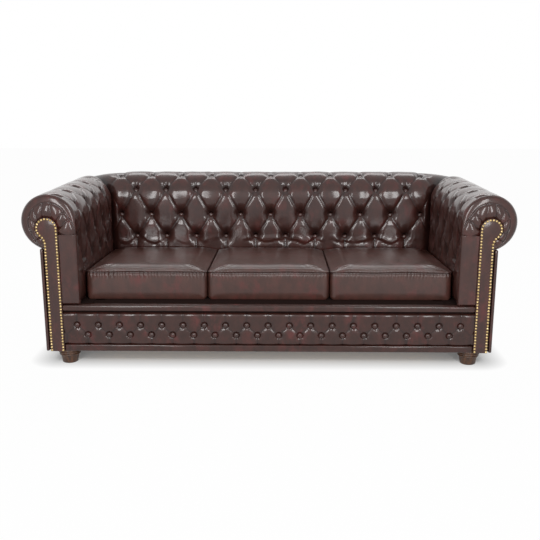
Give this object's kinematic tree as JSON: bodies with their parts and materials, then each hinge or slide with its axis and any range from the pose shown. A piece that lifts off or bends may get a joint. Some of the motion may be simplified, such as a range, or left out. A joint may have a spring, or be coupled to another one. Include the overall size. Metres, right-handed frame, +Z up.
{
  "type": "chesterfield sofa bed",
  "caption": "Scroll-arm deep-buttoned leather sofa whose loose cushions sit on a bed that lifts, unfolds forward in a Z and stands on its own legs.",
  "frame": {"origin": "on the floor under the middle of the folded sofa", "axes": "+X to the viewer's right along the seat, +Y from front to back, +Z up"},
  "size_m": [1.9994, 0.9287, 0.7157],
  "materials": {
    "leather": "semi-gloss oxblood brown with rubbed red patches",
    "frame_timber": "raw sawn softwood and plywood",
    "stained_wood": "dark stained and lacquered",
    "antique_brass": "antique brass nail heads",
    "dark_steel": "black powder coat",
    "mattress_ticking": "woven ticking",
    "birch_slats": "bent birch laminate"
  },
  "bodies": {
    "sofa_frame": {"corner_blocks": "frame_timber", "base_front_board": "leather", "base_rear_board": "frame_timber", "base_floor": "frame_timber", "seat_rail": "leather", "front_panel": "leather", "front_buttons": "leather", "front_strip": "leather", "back_core": "frame_timber", "back_pad": "leather", "back_buttons": "leather", "back_outer_panel": "leather", "foot_front_right": "stained_wood", "foot_front_left": "stained_wood", "foot_rear_right": "stained_wood", "foot_rear_left": "stained_wood", "base_side_right": "leather", "base_side_left": "leather", "side_plate_right": "dark_steel", "side_plate_left": "dark_steel", "arm_core_right": "frame_timber", "arm_core_left": "frame_timber", "arm_pad_right": "leather", "arm_pad_left": "leather", "arm_ring_right": "leather", "arm_ring_left": "leather", "arm_strip_right": "leather", "arm_strip_left": "leather", "arm_facing_right": "leather", "arm_facing_left": "leather", "facing_nails_right": "antique_brass", "facing_nails_left": "antique_brass", "arm_outer_panel_right": "leather", "arm_outer_panel_left": "leather", "arm_buttons_right": "leather", "arm_buttons_left": "leather"},
    "front_arms": {"front_lift_arms": "dark_steel"},
    "rear_arms": {"rear_lift_arms": "dark_steel"},
    "head_section": {"head_frame": "dark_steel", "head_slats": "birch_slats", "head_mattress": "mattress_ticking", "lift_pins": "dark_steel", "head_hinge_pins": "dark_steel"},
    "middle_section": {"middle_frame": "dark_steel", "middle_slats": "birch_slats", "middle_mattress": "mattress_ticking"},
    "foot_section": {"foot_frame": "dark_steel", "foot_slats": "birch_slats", "foot_mattress": "mattress_ticking", "foot_apron": "leather", "foot_hinge_pins": "dark_steel"},
    "middle_leg_frame": {"middle_leg": "dark_steel"},
    "foot_leg_frame": {"foot_leg": "dark_steel"},
    "cushion_left": {"cushion_left": "leather"},
    "cushion_middle": {"cushion_middle": "leather"},
    "cushion_right": {"cushion_right": "leather"}
  },
  "joints": [
    {"name": "bed_unfold", "type": "hinge", "parent": "head_section", "child": "middle_section", "pos_m": [0, -0.368, 0.1335], "axis": [1, 0, 0], "range_deg": [0, 180]},
    {"name": "front_lift", "type": "hinge", "parent": "sofa_frame", "child": "front_arms", "pos_m": [0, -0.36321, 0.179], "axis": [1, 0, 0], "range_deg": [0, 65]},
    {"name": "rear_lift", "type": "hinge", "parent": "sofa_frame", "child": "rear_arms", "pos_m": [0, -0.01321, 0.179], "axis": [1, 0, 0], "range_deg": [0, 65]},
    {"name": "head_level", "type": "hinge", "parent": "front_arms", "child": "head_section", "pos_m": [0, -0.19, 0.079], "axis": [-1, 0, 0], "range_deg": [0, 65]},
    {"name": "foot_level", "type": "hinge", "parent": "middle_section", "child": "foot_section", "pos_m": [0, 0.222, 0.1975], "axis": [-1, 0, 0], "range_deg": [0, 180]},
    {"name": "middle_leg_swing", "type": "hinge", "parent": "middle_section", "child": "middle_leg_frame", "pos_m": [0, 0.162, 0.191], "axis": [-1, 0, 0], "range_deg": [0, 90]},
    {"name": "foot_leg_swing", "type": "hinge", "parent": "foot_section", "child": "foot_leg_frame", "pos_m": [0, -0.318, 0.204], "axis": [-1, 0, 0], "range_deg": [0, 90]},
    {"name": "cushion_left_lift", "type": "slide", "parent": "foot_section", "child": "cushion_left", "axis": [0, 0, 1], "range_m": [0, 0.35]},
    {"name": "cushion_middle_lift", "type": "slide", "parent": "foot_section", "child": "cushion_middle", "axis": [0, 0, 1], "range_m": [0, 0.35]},
    {"name": "cushion_right_lift", "type": "slide", "parent": "foot_section", "child": "cushion_right", "axis": [0, 0, 1], "range_m": [0, 0.35]}
  ],
  "couplings": [
    {"joint": "front_lift", "follows": "bed_unfold", "ratio": 0.36111},
    {"joint": "rear_lift", "follows": "bed_unfold", "ratio": 0.36111},
    {"joint": "head_level", "follows": "bed_unfold", "ratio": 0.36111},
    {"joint": "foot_level", "follows": "bed_unfold", "ratio": 1},
    {"joint": "middle_leg_swing", "follows": "bed_unfold", "ratio": 0.5},
    {"joint": "foot_leg_swing", "follows": "bed_unfold", "ratio": 0.5}
  ]
}
